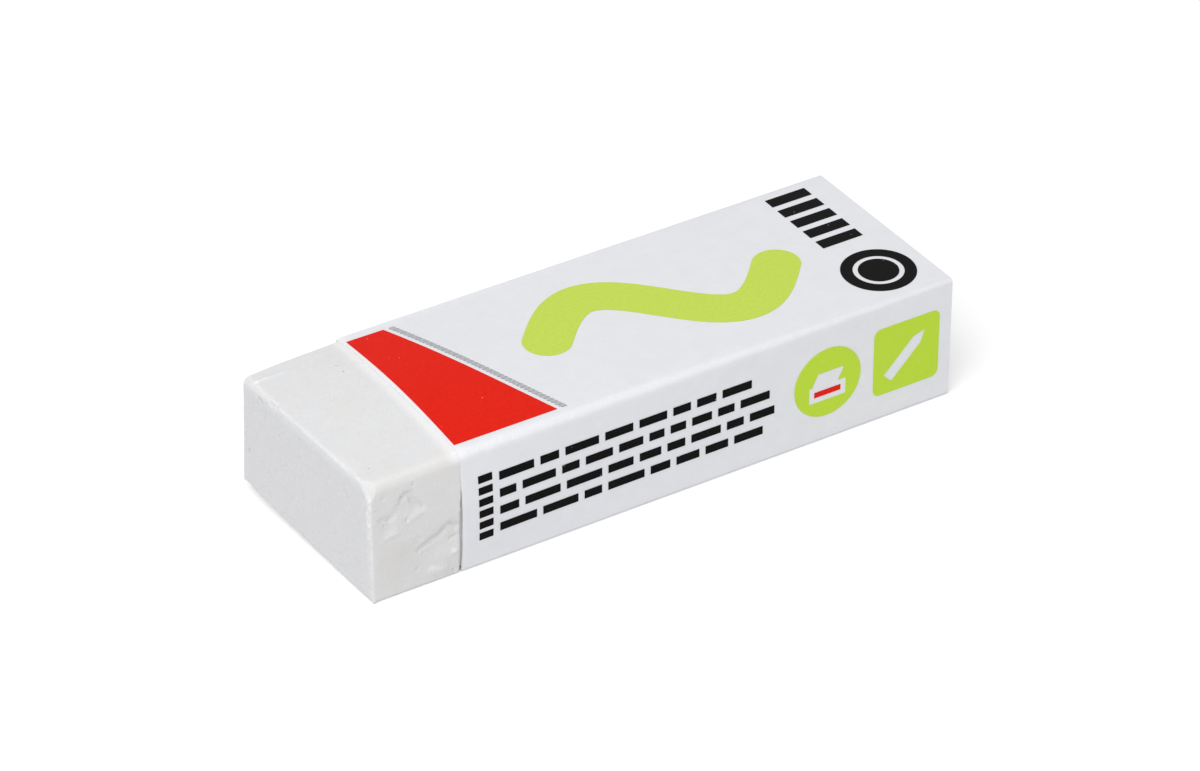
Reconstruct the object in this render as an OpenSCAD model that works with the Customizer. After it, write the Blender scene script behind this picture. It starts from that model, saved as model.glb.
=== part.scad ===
// Block eraser in an open-ended card sleeve.
// The block is one moulded piece of white vinyl. The sleeve is one strip of printed card,
// folded round it and glued along a lap on the far narrow side, and the block slides in it.
// X runs along the length, with the nose at -X. Z is up, from the sleeve's underside.

/* [Eraser block] */
// Length of the block, on its longer side
block_l = 65; // [58:1:80]
// Width of the block
block_w = 21.8; // [16:0.1:30]
// Height of the block
block_h = 12.6; // [10:0.1:18]
// Radius of the block's long edge at the top of the near side
block_round = 1; // [0.6:0.1:2]
// Radius of the block's other three long edges, which are crisper
crisp_round = 0.4; // [0.3:0.1:1]
// Radius of the back end's edges
back_round = 0.6; // [0.3:0.1:1.5]

/* [Worn nose] */
// Angle of the nose face out of square, in degrees
nose_skew = 2.9; // [0:0.1:5]
// Radius of the nose's edges at the near side and the underside
nose_round = 0.4; // [0.2:0.1:1]
// Radius of the nose's top edge, which is rubbed away most
top_edge_round = 0.6; // [0.3:0.1:1.5]
// Radius of the nose's edge at the far side
far_edge_round = 0.9; // [0.3:0.1:1.5]
// Depth of the flats worn on the nose's corners
corner_wear = 0.55; // [0.2:0.05:1]
// Rise of the underside at the nose's far corner, where a slanting flat is rubbed off
under_wear = 1.4; // [0.2:0.1:3]
// Length of that flat along the far side, back from the nose
under_wear_l = 6; // [3:0.5:9]
// Nick in the nose's top edge: place from the middle, radius, depth
nose_nick = [5.4, 1.3, 0.45]; // [0.1:0.1:8]

/* [Dents in the near side] */
// Upper dent: back from the nose, up from the underside, radius, depth
upper_dent = [4.6, 8.9, 3.4, 0.3]; // [0.1:0.1:12]
// Small dent nearer the nose, in the same order
small_dent = [2.4, 7.1, 2.6, 0.22]; // [0.1:0.1:12]
// Broad dent beside the sleeve's mouth, in the same order
mouth_dent = [8.2, 3, 5, 0.35]; // [0.1:0.1:12]

/* [Card sleeve] */
// Length of the sleeve
sleeve_l = 55; // [40:1:57]
// Thickness of the card
card_t = 0.25; // [0.2:0.05:0.4]
// Gap between the card and the block on each side
fit_gap = 0.1; // [0.05:0.01:0.2]
// Depth of the block's back end inside the sleeve
back_recess = 0.4; // [0:0.1:2]
// Inside radius of the crisp folds, at the back end, the underside and the top of the far side
back_fold = 0.15; // [0.1:0.05:0.5]
// Height of the glue flap inside the far side
flap_h = 9.5; // [5:0.5:9.5]
// Gap between the fold at the underside and the outer layer's cut edge
lap_gap = 0.3; // [0.1:0.1:1]
// Rise of the top panel at the middle of the mouth
top_bow = 0.65; // [0:0.05:1.2]
// Bulge of the near side panel at the middle of the mouth
side_bow = 0.4; // [0:0.05:0.8]
// Length over which the opened mouth fades out
bow_reach = 24; // [10:1:35]

/* [Print] */
// Thickness of the ink
ink_t = 0.03; // [0.02:0.01:0.05]
// Gap between the ink and the card's facets
ink_lift = 0.01; // [0.01:0.01:0.02]
// Unprinted margin along the folds and the back end
print_margin = 1.4; // [1.2:0.1:3]
// Unprinted margin along the mouth's cut edge
mouth_margin = 0.5; // [0.2:0.1:2]
// Bare card between two shapes of the print
motif_gap = 1.5; // [0.5:0.1:3]
// Reach of the red field from the mouth, at the far fold
red_far = 4.5; // [2:0.5:12]
// Reach of the red field from the mouth, at the near fold
red_near = 11.5; // [2:0.5:12]
// Width of the grey rule beside the red field
rule_w = 0.6; // [0.3:0.1:1]
// Gap between the red field and the grey rule
rule_gap = 0.5; // [0.3:0.1:1]
// Width of the wave's stroke
wave_w = 4.8; // [2:0.1:6]
// Height of the wave's crests above its middle line
wave_crest = 4.6; // [0:0.1:5]
// Radius of the disc near the back end
disc_r = 3.7; // [2.8:0.1:4]
// Outer radius of the bare ring in the disc
ring_r = 2.5; // [1.5:0.1:2.6]
// Width of the bare ring
ring_w = 0.5; // [0.3:0.1:1]
// Number of bars beside the disc
bar_count = 5; // [3:1:6]
// Length of a bar, along the sleeve
bar_l = 4.6; // [2:0.1:6]
// Width of a bar
bar_w = 1.4; // [0.5:0.1:1.6]
// Side of the square panel and diameter of the round one
panel = 7.6; // [6:0.1:8]
// Radius of the square panel's corners
panel_round = 0.8; // [0.3:0.1:2]
// Length of the pencil left bare in the square panel
pencil_l = 6; // [3:0.1:6]
// Width of the pencil
pencil_w = 1.3; // [0.8:0.1:2]
// Length of the eraser shape left bare in the round panel, and of the red stroke under it
rubber_l = 3; // [2:0.1:3.6]
// Height of the eraser shape
rubber_h = 1.6; // [1:0.1:2]
// Height of the red stroke
stroke_h = 0.6; // [0.3:0.1:1]
// Number of rows of dashes on the near side
row_count = 4; // [3:1:4]
// Distance from row to row
row_pitch = 1.9; // [1.4:0.1:2.2]
// Height of a dash
dash_h = 0.9; // [0.5:0.1:1.2]
// Length of the shortest dash
dash_short = 1.6; // [0.8:0.1:2]
// Length of the longest dash
dash_long = 4; // [3:0.1:6]
// Gap between two dashes
dash_gap = 0.7; // [0.4:0.1:1.5]
// Number of ticks in the column beside the mouth
tick_count = 6; // [3:1:7]
// Length of a tick
tick_l = 1.5; // [0.8:0.1:2]
// Height of a tick
tick_h = 0.8; // [0.4:0.1:0.9]

/* [Hidden] */
$fn = 48;
corner_n = 6;                                   // facets of a rounded corner
fold_n = 8;                                     // facets of a fold
panel_n = 14;                                   // facets across a bowed panel
bow_n = 9;                                      // rings over the opened mouth
wave_n = 48;                                    // steps along the wave
white = [0.91, 0.91, 0.92];
vinyl = [0.9, 0.9, 0.88];
red = [0.9, 0.17, 0.14];
lime = [0.72, 0.84, 0.26];
black = [0.13, 0.13, 0.14];
grey = [0.62, 0.62, 0.65];

// Outside of the sleeve, whose far side is two layers thick at the lap
sleeve_w = block_w + 2 * fit_gap + 3 * card_t;
sleeve_h = block_h + 2 * fit_gap + 2 * card_t;
total_l = block_l + back_recess;
nose_x = -total_l / 2;
back_x = total_l / 2;
mouth_x = back_x - sleeve_l;
// The near side bulges, so the sleeve stands half of that off the middle
sleeve_y = side_bow / 2;
near_y = sleeve_y - sleeve_w / 2;
far_y = sleeve_y + sleeve_w / 2;
block_near = near_y + card_t + fit_gap;
block_far = block_near + block_w;
block_z = card_t + fit_gap;
block_top = block_z + block_h;
nose_near_x = nose_x + block_w * tan(nose_skew);
block_back = nose_x + block_l;
// At the mouth the near fold at the top follows the block's rounded edge
mouth_fold = block_round - 2 * fit_gap;
// The other three folds stay crisp over their whole length
crisp_fold = card_t + back_fold;
// Height of the outer layer's cut edge
lap_z = crisp_fold + lap_gap;

// ---- outlines ----
function unit(v) = v / norm(v);

// Arc that rounds the corner p of an anticlockwise outline, between its neighbours a and b
function round_corner(a, p, b, r) =
    let (
        u = unit(a - p),
        v = unit(b - p),
        half = acos(u * v) / 2,
        c = p + unit(u + v) * r / sin(half),
        s = p + u * r / tan(half) - c,
        start = atan2(s[1], s[0]),
        sweep = 180 - 2 * half
    )
    [for (i = [0:corner_n]) let (q = start + sweep * i / corner_n) c + r * [cos(q), sin(q)]];

// Anticlockwise outline through pts, with each corner rounded to its own radius
function rounded(pts, radii) =
    let (last = len(pts) - 1)
    [for (i = [0:last])
        each round_corner(pts[i == 0 ? last : i - 1], pts[i], pts[i == last ? 0 : i + 1], radii[i])];

function box_outline(low, high) = [low, [high[0], low[1]], high, [low[0], high[1]]];

// ---- eraser block ----
// The block's section, with its four long edges rounded
module block_section() {
    polygon(rounded(
        box_outline([block_near, block_z], [block_far, block_top]),
        [crisp_round, crisp_round, crisp_round, block_round]));
}

// The block from above, with its nose out of square
module block_plan() {
    polygon(rounded(
        [[nose_near_x, block_near], [block_back, block_near], [block_back, block_far], [nose_x, block_far]],
        [nose_round, back_round, back_round, far_edge_round]));
}

// The block from the near side
module block_profile() {
    polygon(rounded(
        box_outline([nose_x, block_z], [block_back, block_top]),
        [nose_round, back_round, back_round, top_edge_round]));
}

// A shallow round hollow pressed into the near side
module dent(d) {
    translate([nose_near_x + d[0], block_near - d[2] + d[3], block_z + d[1]])
        sphere(r = d[2]);
}

// A flat rubbed on a corner, facing the direction turn, tilt
module corner_flat(corner, turn, tilt) {
    side = 4 * corner_wear + 4;
    translate(corner)
        rotate([0, -tilt, turn])
            translate([-corner_wear, -side / 2, -side / 2])
                cube(side);
}

// A flat rubbed on the underside, which rises from the nose's near corner to its far corner
module under_flat() {
    back_tilt = atan(under_wear / under_wear_l);
    side_tilt = atan(under_wear / block_w * cos(back_tilt));
    translate([nose_x, block_near, block_z])
        rotate([side_tilt, back_tilt, 0])
            translate([-block_w, -block_w, -block_h])
                cube([2 * block_w, 3 * block_w, block_h]);
}

// A bite out of the nose's top edge
module nick(n) {
    translate([nose_x, (block_near + block_far) / 2 + n[0], block_top + n[1] - n[2]])
        sphere(r = n[1]);
}

module eraser_block() {
    color(vinyl)
        difference() {
            intersection() {
                translate([nose_x, 0, 0])
                    rotate([90, 0, 90])
                        linear_extrude(block_l)
                            block_section();
                translate([0, 0, block_z])
                    linear_extrude(block_h)
                        block_plan();
                translate([0, block_far, 0])
                    rotate([90, 0, 0])
                        linear_extrude(block_w)
                            block_profile();
            }
            dent(upper_dent);
            dent(small_dent);
            dent(mouth_dent);
            corner_flat([nose_near_x, block_near, block_top], 215, 30);
            corner_flat([nose_x, block_far, block_top], 140, 40);
            under_flat();
            nick(nose_nick);
        }
}

// ---- card sleeve ----
// How far the mouth is opened at x, from 1 at the mouth to 0
function opened(x) = pow(max(0, 1 - (x - mouth_x) / bow_reach), 2);
// Outer radius of the near fold at the top at x
function fold_r(x) =
    card_t + mouth_fold + (back_fold - mouth_fold) * (x - mouth_x) / sleeve_l;

function fold(y, z, r, start) =
    [for (i = [0:fold_n]) let (q = start + 90 * i / fold_n) [y + r * cos(q), z + r * sin(q)]];

// The far side's lap: the flap inside, and the outer layer down to its cut edge
function lap(d, inside) =
    let (out = far_y - d, in = far_y - card_t - d)
    inside
        ? [[in, lap_z], [in, lap_z + card_t], [in, flap_h], [out, flap_h]]
        : [[in, lap_z], [out, lap_z], [out, flap_h - card_t], [out, flap_h]];

// Closed loop of the card's section at x and at depth d below its outer face
function loop(x, d, inside) =
    let (
        r = fold_r(x),
        rise = top_bow * opened(x),
        bulge = side_bow * opened(x),
        left = near_y + r,
        right = far_y - crisp_fold,
        high = sleeve_h - r
    )
    concat(
        fold(near_y + crisp_fold, crisp_fold, crisp_fold - d, 180),
        fold(far_y - card_t - crisp_fold, crisp_fold, crisp_fold - d, 270),
        lap(d, inside),
        fold(right, sleeve_h - crisp_fold, crisp_fold - d, 0),
        [for (i = [1:panel_n - 1]) let (s = i / panel_n)
            [right + (left - right) * s, sleeve_h - d + rise * sin(180 * s)]],
        fold(left, high, r - d, 90),
        [for (i = [1:panel_n - 1]) let (s = i / panel_n)
            [near_y + d - bulge * sin(180 * s), high + (crisp_fold - high) * s]]);

// Rings lie closer together where the mouth opens
stations = concat(
    [for (i = [0:bow_n]) mouth_x + bow_reach * pow(i / bow_n, 1.5)],
    [back_x]);

function quad(a, b, c, d) = [[a, b, c], [a, c, d]];

// Solid tube through the card's section at depth d, run past both ends by extra.
// Its ends are fans of triangles round a point level with the single layer above the flap.
module tube(d, inside, extra) {
    last = len(stations) - 1;
    xs = extra == 0 ? stations : concat([stations[0] - extra], stations, [stations[last] + extra]);
    rings = [for (x = xs) loop(min(max(x, mouth_x), back_x), d, inside)];
    m = len(rings[0]);
    end = m * (len(xs) - 1);
    hub = [sleeve_y, (flap_h + sleeve_h) / 2];
    skin = [for (k = [0:m:end - m], i = [0:m - 1]) let (j = (i + 1) % m)
        each quad(k + i, k + m + i, k + m + j, k + j)];
    caps = [for (i = [0:m - 1]) let (j = (i + 1) % m)
        each [[i, j, end + m], [end + j, end + i, end + m + 1]]];
    polyhedron(
        concat(
            [for (k = [0:len(xs) - 1], p = rings[k]) [xs[k], p[0], p[1]]],
            [[xs[0], hub[0], hub[1]], [xs[len(xs) - 1], hub[0], hub[1]]]),
        concat(skin, caps),
        convexity = 4);
}

// The folded wall, from depth outer to depth inner below the card's outer face
module wall(outer, inner) {
    difference() {
        tube(outer, false, 0);
        tube(inner, true, card_t);
    }
}

module card_sleeve() {
    color(white)
        wall(0, card_t);
}

// ---- print ----
// A thin skin over the card, kept where the shapes are
module ink(colour) {
    color(colour)
        intersection() {
            wall(-ink_lift - ink_t, -ink_lift);
            union()
                children();
        }
}

// Prism up through the top panel: the shape's x runs from the mouth and its y across the sleeve
module on_top() {
    translate([mouth_x, sleeve_y, sleeve_h / 2])
        linear_extrude(sleeve_h)
            children();
}

// Prism out through the near side: the shape's x runs from the mouth and its y up from the underside
module on_side() {
    translate([mouth_x, sleeve_y, 0])
        rotate([90, 0, 0])
            linear_extrude(sleeve_w)
                children();
}

// Half the printed width of the top panel
print_half = sleeve_w / 2 - print_margin;

// Slanting band from one reach to the other, each given at the far fold and at the near fold
function slant(low_far, low_near, high_far, high_near) =
    [[low_near, -print_half], [high_near, -print_half], [high_far, print_half], [low_far, print_half]];

// The top's motifs lie between the grey rule and the back margin
rule_end = rule_gap + rule_w;
disc_x = sleeve_l - print_margin - max(disc_r, bar_l / 2);
disc_y = disc_r - print_half;
bars_y = disc_y + disc_r + motif_gap;
bar_pitch = (print_half - bars_y) / bar_count;
wave_start = max(red_far, red_near) + rule_end + motif_gap + wave_w / 2;
wave_end = disc_x - max(disc_r, bar_l / 2) - motif_gap - wave_w / 2;
wave_l = wave_end - wave_start;

// The side's motifs: ticks, rows of dashes, round panel and square panel
mid_z = sleeve_h / 2;
tick_x = mouth_margin + motif_gap;
rows_start = tick_x + tick_l + motif_gap / 2;
square_x = sleeve_l - print_margin - panel;
round_x = square_x - motif_gap - panel / 2;
rows_end = round_x - panel / 2 - motif_gap;

// Square of side s with rounded corners, its middle at the origin
module soft_square(s, r) {
    polygon(rounded(box_outline([-s / 2, -s / 2], [s / 2, s / 2]), [r, r, r, r]));
}

// Slanting block, drawn as a parallelogram
module rubber_shape() {
    lean = rubber_h / 2;
    polygon([
        [-rubber_l / 2 - lean / 2, 0], [rubber_l / 2 - lean / 2, 0],
        [rubber_l / 2 + lean / 2, rubber_h], [-rubber_l / 2 + lean / 2, rubber_h]]);
}

// Plain pencil, drawn as a slanting bar with a point
module pencil_shape() {
    neck = pencil_l / 2 - pencil_w;
    rotate(45)
        polygon([
            [-pencil_l / 2, -pencil_w / 2], [neck, -pencil_w / 2], [pencil_l / 2, 0],
            [neck, pencil_w / 2], [-pencil_l / 2, pencil_w / 2]]);
}

module red_print() {
    ink(red) {
        on_top()
            polygon(slant(mouth_margin, mouth_margin, red_far, red_near));
        on_side()
            translate([round_x - rubber_l / 2, mid_z - stroke_h - rubber_h / 2])
                square([rubber_l, stroke_h]);
    }
}

module grey_print() {
    ink(grey)
        on_top()
            polygon(slant(red_far + rule_gap, red_near + rule_gap, red_far + rule_end, red_near + rule_end));
}

// Middle line of the wave at a share s of its length, its slope there, and the edge of its stroke
function wave_y(s) = wave_crest * sin(360 * s);
function wave_slope(s) = wave_crest * cos(360 * s) * 2 * PI / wave_l;
function wave_edge(s, side) =
    [wave_start + wave_l * s, wave_y(s)] + side * wave_w / 2 * unit([-wave_slope(s), 1]);

module wave_stroke() {
    polygon(concat(
        [for (i = [0:wave_n]) wave_edge(i / wave_n, -1)],
        [for (i = [wave_n:-1:0]) wave_edge(i / wave_n, 1)]));
    for (x = [wave_start, wave_end])
        translate([x, 0])
            circle(d = wave_w);
}

module lime_print() {
    ink(lime) {
        on_top()
            wave_stroke();
        on_side()
            translate([square_x + panel / 2, mid_z])
                difference() {
                    soft_square(panel, panel_round);
                    pencil_shape();
                }
        on_side()
            translate([round_x, mid_z])
                difference() {
                    circle(d = panel);
                    translate([0, -rubber_h / 4])
                        rubber_shape();
                    translate([-rubber_l / 2 - stroke_h, -2 * stroke_h - rubber_h / 2])
                        square([rubber_l + 2 * stroke_h, 3 * stroke_h]);
                }
    }
}

// Where each dash of a row starts, when the dashes have these lengths
function dash_starts(lengths, x, i) =
    i == len(lengths) ? [] : concat([x], dash_starts(lengths, x + lengths[i] + dash_gap, i + 1));

// One row of dashes, whose lengths vary from dash to dash and from row to row
module dash_row(row) {
    most = floor((rows_end - rows_start) / dash_short);
    lengths = rands(dash_short, dash_long, most, row + 1);
    starts = dash_starts(lengths, rows_start, 0);
    for (i = [0:most - 1])
        if (starts[i] + lengths[i] < rows_end)
            translate([starts[i], 0])
                square([lengths[i], dash_h]);
}

module black_print() {
    tick_pitch = row_count * row_pitch / tick_count;
    ink(black) {
        on_top()
            translate([disc_x, disc_y])
                difference() {
                    circle(r = disc_r);
                    difference() {
                        circle(r = ring_r);
                        circle(r = ring_r - ring_w);
                    }
                }
        on_top()
            for (i = [0:bar_count - 1])
                translate([disc_x - bar_l / 2, bars_y + i * bar_pitch + (bar_pitch - bar_w)])
                    square([bar_l, bar_w]);
        on_side()
            for (row = [0:row_count - 1])
                translate([0, mid_z + (row - row_count / 2) * row_pitch + (row_pitch - dash_h) / 2])
                    dash_row(row);
        on_side()
            for (i = [0:tick_count - 1])
                translate([tick_x, mid_z + (i - tick_count / 2) * tick_pitch + (tick_pitch - tick_h) / 2])
                    square([tick_l, tick_h]);
    }
}

eraser_block();
card_sleeve();
red_print();
lime_print();
black_print();
grey_print();
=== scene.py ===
import math

import bmesh
import bpy
from mathutils import Matrix, Vector
from mathutils.geometry import intersect_point_line


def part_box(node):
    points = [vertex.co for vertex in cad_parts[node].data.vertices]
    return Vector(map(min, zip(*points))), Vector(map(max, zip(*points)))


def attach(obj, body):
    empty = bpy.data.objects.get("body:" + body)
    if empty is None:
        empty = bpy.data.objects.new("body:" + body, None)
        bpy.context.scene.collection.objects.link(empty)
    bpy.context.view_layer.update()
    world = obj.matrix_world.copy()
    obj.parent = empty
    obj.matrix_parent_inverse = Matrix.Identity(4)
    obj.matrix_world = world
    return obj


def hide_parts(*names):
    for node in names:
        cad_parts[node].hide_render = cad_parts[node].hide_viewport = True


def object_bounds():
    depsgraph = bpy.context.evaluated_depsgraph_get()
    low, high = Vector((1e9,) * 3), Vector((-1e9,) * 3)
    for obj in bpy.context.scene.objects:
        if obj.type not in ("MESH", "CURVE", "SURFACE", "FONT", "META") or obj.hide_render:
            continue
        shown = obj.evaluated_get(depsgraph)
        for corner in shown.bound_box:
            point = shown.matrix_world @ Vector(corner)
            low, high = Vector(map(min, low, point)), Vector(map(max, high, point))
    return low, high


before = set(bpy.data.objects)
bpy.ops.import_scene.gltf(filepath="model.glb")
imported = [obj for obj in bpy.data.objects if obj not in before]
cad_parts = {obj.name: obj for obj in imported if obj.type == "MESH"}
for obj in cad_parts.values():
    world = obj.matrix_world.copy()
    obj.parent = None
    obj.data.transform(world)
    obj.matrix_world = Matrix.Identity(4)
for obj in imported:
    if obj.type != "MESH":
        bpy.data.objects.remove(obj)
cad_low, cad_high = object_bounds()


# ---- Eraser block ----
# One bar of soft white vinyl, cut to length, with rounded long edges. It is pushed into the
# sleeve and held there by friction, and its bare end has swelled since. Rubbing has worn the nose
# out of square, flattened its corners and chipped its edges, and nails have dented the near side.
MM = 0.001
block_low, block_high = (Vector(corner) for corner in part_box("eraser_block"))
sleeve_low, sleeve_high = (Vector(corner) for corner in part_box("card_sleeve"))
mouth_x = sleeve_low.x
nose_x, tail_x = block_low.x, block_high.x
near, far = block_low.y, block_high.y
under, top = block_low.z, block_high.z
width, height = far - near, top - under
middle = Vector((0, (near + far) / 2, (under + top) / 2))
nose_skew = math.radians(2.9)
near_edge_round = 1.0 * MM
crisp_edge_round = 0.25 * MM
low_edge_round = 0.3 * MM
nose_edge_round = 0.15 * MM
tail_edge_round = 0.6 * MM
top_band_drop = 0.6 * MM
top_band_width = 0.5 * MM
top_band_from = 2 * MM
bare_swell = 0.3 * MM
top_bow = 0.65 * MM
side_bow = 0.4 * MM
bow_reach = 24 * MM
skin_grid = 0.13 * MM
hidden_from = mouth_x + 2 * MM


def choose(piece, kind, test):
    """In edit mode, selects the verts, edges or faces of a piece that pass a test."""
    bpy.ops.object.mode_set(mode="EDIT")
    bpy.ops.mesh.select_mode(type={"verts": "VERT", "edges": "EDGE", "faces": "FACE"}[kind])
    bpy.ops.mesh.select_all(action="DESELECT")
    shape = bmesh.from_edit_mesh(piece.data)
    for element in getattr(shape, kind):
        element.select_set(test(element))
    shape.select_flush_mode()
    bmesh.update_edit_mesh(piece.data)


def add_box(name, low, high):
    """A box between two corners, its place in its mesh."""
    bpy.ops.object.select_all(action="DESELECT")
    bpy.ops.mesh.primitive_cube_add(size=1, location=(low + high) / 2)
    bpy.ops.transform.resize(value=high - low)
    bpy.ops.object.transform_apply()
    bpy.context.object.name = name
    return bpy.context.object


def along(edge, axis):
    """Whether an edge runs along that axis."""
    run = edge.verts[1].co - edge.verts[0].co
    return abs(run[axis]) > 0.9 * run.length


def round_edges(piece, test, radius, segments):
    """Rounds the edges of a piece that pass a test."""
    choose(piece, "edges", test)
    bpy.ops.mesh.bevel(offset=radius, segments=segments, affect="EDGES")


def modify(piece, kind, **settings):
    """Adds a modifier with these settings to the piece and applies it."""
    bpy.ops.object.mode_set(mode="OBJECT")
    modifier = piece.modifiers.new(kind.lower(), kind)
    for name, value in settings.items():
        setattr(modifier, name, value)
    bpy.ops.object.modifier_apply(modifier=modifier.name)


def nose_at(y):
    """How far back the slanting nose lies at a place across the block."""
    return nose_x + (far - y) * math.tan(nose_skew)


def mouth_at(y):
    """Where the sleeve's mouth lies across the block, as its edge is a little out of square."""
    return mouth_x + (0.15 + 0.1 * (far - y) / width) * MM


def rub_flat(*places):
    """Rubs a flat on the bar through three places, and closes the cut."""
    first, second, third = (Vector(place) for place in places)
    facing = (second - first).cross(third - first).normalized()
    if facing.dot(first - Vector((mouth_x, middle.y, middle.z))) < 0:
        facing.negate()
    bpy.ops.mesh.select_all(action="SELECT")
    bpy.ops.mesh.bisect(
        plane_co=first, plane_no=facing, use_fill=True, clear_outer=True, threshold=1e-7)


# the worn end that shows, and a few millimetres of the bar that the sleeve hides
block = add_box("vinyl_block", block_low, Vector((hidden_from + 1 * MM, far, top)))
choose(block, "verts", lambda v: v.co.x < mouth_x and v.co.y < 0)
bpy.ops.transform.translate(value=(nose_at(near) - nose_x, 0, 0))
round_edges(block, lambda e: (
    along(e, 0) and e.verts[0].co.z > middle.z and e.verts[0].co.y < 0), near_edge_round, 10)
round_edges(block, lambda e: (
    along(e, 0) and e.verts[0].co.y > 0 and abs(e.calc_face_angle()) > 1), crisp_edge_round, 5)
round_edges(block, lambda e: (
    along(e, 0) and e.verts[0].co.y < 0 and e.verts[0].co.z < middle.z), low_edge_round, 6)
round_edges(block, lambda e: not along(e, 0) and e.verts[0].co.x < mouth_x, nose_edge_round, 2)
bpy.ops.mesh.select_all(action="SELECT")
near_corner, far_corner = nose_at(near), nose_at(far)
rub_flat((near_corner, near, top - 1.7 * MM), (near_corner, near + 1.5 * MM, top),
         (near_corner + 1.3 * MM, near, top))
rub_flat((far_corner, far, top - 0.35 * MM), (far_corner, far - 0.25 * MM, top),
         (far_corner + 0.25 * MM, far, top))
# the band worn along the nose's top edge, deeper toward its far corner
rub_flat((nose_at(top_band_from), top_band_from, top), (far_corner, far, top - top_band_drop),
         (far_corner + top_band_width, far, top))
# the underside's flat, which rises across the nose, and a shallow one along the far edge
rub_flat((near_corner, near, under), (far_corner, far, under + 1.45 * MM),
         (far_corner + 6 * MM, far, under))
rub_flat((far_corner, 9.1 * MM, top), (mouth_x - 6.7 * MM, far - 0.9 * MM, top),
         (far_corner, far, top - 0.12 * MM))
modify(block, "REMESH", mode="VOXEL", voxel_size=skin_grid, use_smooth_shade=True)
modify(block, "SMOOTH", factor=0.5, iterations=2)


def weigh(piece, name, weight):
    """Gives a piece a vertex group, its weights worked out from each point's place."""
    group = piece.vertex_groups.new(name=name)
    for vertex in piece.data.vertices:
        group.add([vertex.index], weight(vertex.co), "REPLACE")
    return name


def wear(p, reach):
    """How worn the skin is, from 1 on the nose's top and near edges to 0 away from them."""
    band = top_band_width * max(0, (p.y - top_band_from) / (far - top_band_from))
    behind_nose = max(0, p.x - nose_at(p.y) - 0.1 * MM - band)
    from_rim = min(max(0, top - p.z), p.y - near)
    return math.exp(-(behind_nose ** 2 + from_rim ** 2) / reach ** 2)


def handled(p):
    """How much the long near edge at the top is rubbed by handling."""
    off_edge = (p.y - near) + (top - p.z)
    return 0.5 * math.exp(-(off_edge / (1.2 * MM)) ** 2) * (p.x < mouth_x)


modify(block, "SMOOTH", factor=0.6, iterations=5, vertex_group=weigh(
    block, "softened", lambda p: wear(p, 0.6 * MM) * min(1, (p.z - under) / (3 * MM)) * min(
        1, (far + 1 * MM - p.y) / (5 * MM))))


# dents, lips and creases pressed into the soft skin
def press(places, push, reach, falloff="SMOOTH"):
    """Moves the skin along a line of places by a push that fades out over a reach."""
    line = [Vector(place) for place in places]

    def on_line(vertex):
        for start, end in zip(line, line[1:] or line):
            spot, part = (start, 0) if start == end else intersect_point_line(vertex.co, start, end)
            spot = start if part < 0 else end if part > 1 else spot
            gap = vertex.co - spot
            deep = gap.project(push)
            if (gap - deep).length < 0.9 * skin_grid and deep.length < 1 * MM:
                return True
        return False

    choose(block, "verts", on_line)
    bpy.ops.transform.translate(
        value=push, use_proportional_edit=True, proportional_size=reach,
        proportional_edit_falloff=falloff)


def near_side(*places):
    """Places on the near side, given back from the mouth and up from the floor, in mm."""
    return [(mouth_x + x * MM, near, z * MM) for x, z in places]


inward, outward, upward = Vector((0, MM, 0)), Vector((0, -MM, 0)), Vector((0, 0, MM))
# the upper nail mark: a long hollow under a curved brow, with a raised lip below
press(near_side((-5.85, 10.5), (-5.5, 10.75), (-5.05, 10.75), (-4.75, 10.1), (-4.35, 9.4), (-3.95, 9.0)),
      inward * 0.17, 0.55 * MM)
press(near_side((-5.35, 9.7), (-4.7, 9.2)), inward * 0.14, 1.2 * MM)
press(near_side((-6.25, 9.95), (-6.7, 9.3), (-7.2, 8.8)), inward * 0.06, 0.5 * MM)
press(near_side((-5.2, 8.05), (-4.65, 8.25), (-4.1, 8.45)), outward * 0.06, 0.4 * MM)
# the small left one
press(near_side((-8.05, 8.85), (-7.6, 8.95), (-7.2, 8.75)), inward * 0.12, 0.5 * MM)
press(near_side((-7.4, 8.0)), inward * 0.13, 1.1 * MM)
press(near_side((-7.6, 6.85), (-7.0, 7.0), (-6.5, 7.05)), outward * 0.06, 0.4 * MM)
# the big one at the mouth: a brow that curves down to the card, and a floor that rises again
press(near_side((-4.2, 4.5), (-3.5, 4.85), (-2.75, 5.05), (-2.2, 5.2), (-1.7, 5.75), (-0.95, 6.1),
                (-0.4, 5.65)), inward * 0.17, 0.5 * MM)
press(near_side((-2.2, 4.4), (-0.9, 4.9)), inward * 0.2, 1.9 * MM)
press(near_side((-3.3, 3.8)), inward * 0.08, 1.3 * MM)
press(near_side((-1.05, 4.55), (-0.4, 4.65)), inward * 0.1, 0.25 * MM, "SHARP")
press(near_side((-0.6, 3.05)), outward * 0.12, 0.6 * MM)
press(near_side((-2.9, 1.75), (-2.4, 1.55), (-1.8, 1.5)), outward * 0.12, 0.8 * MM)
# small pits along their rims
pits = ((-7.8, 11.35), (-5.8, 10.65), (-4.95, 9.85), (-4.6, 11.7), (-5.5, 8.15), (-4.15, 5.7),
        (-3.85, 4.0), (-0.7, 0.85), (-4.5, 2.5), (-7.8, 8.3))
for pit in pits:
    press(near_side(pit), inward * 0.09, 0.22 * MM)
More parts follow.
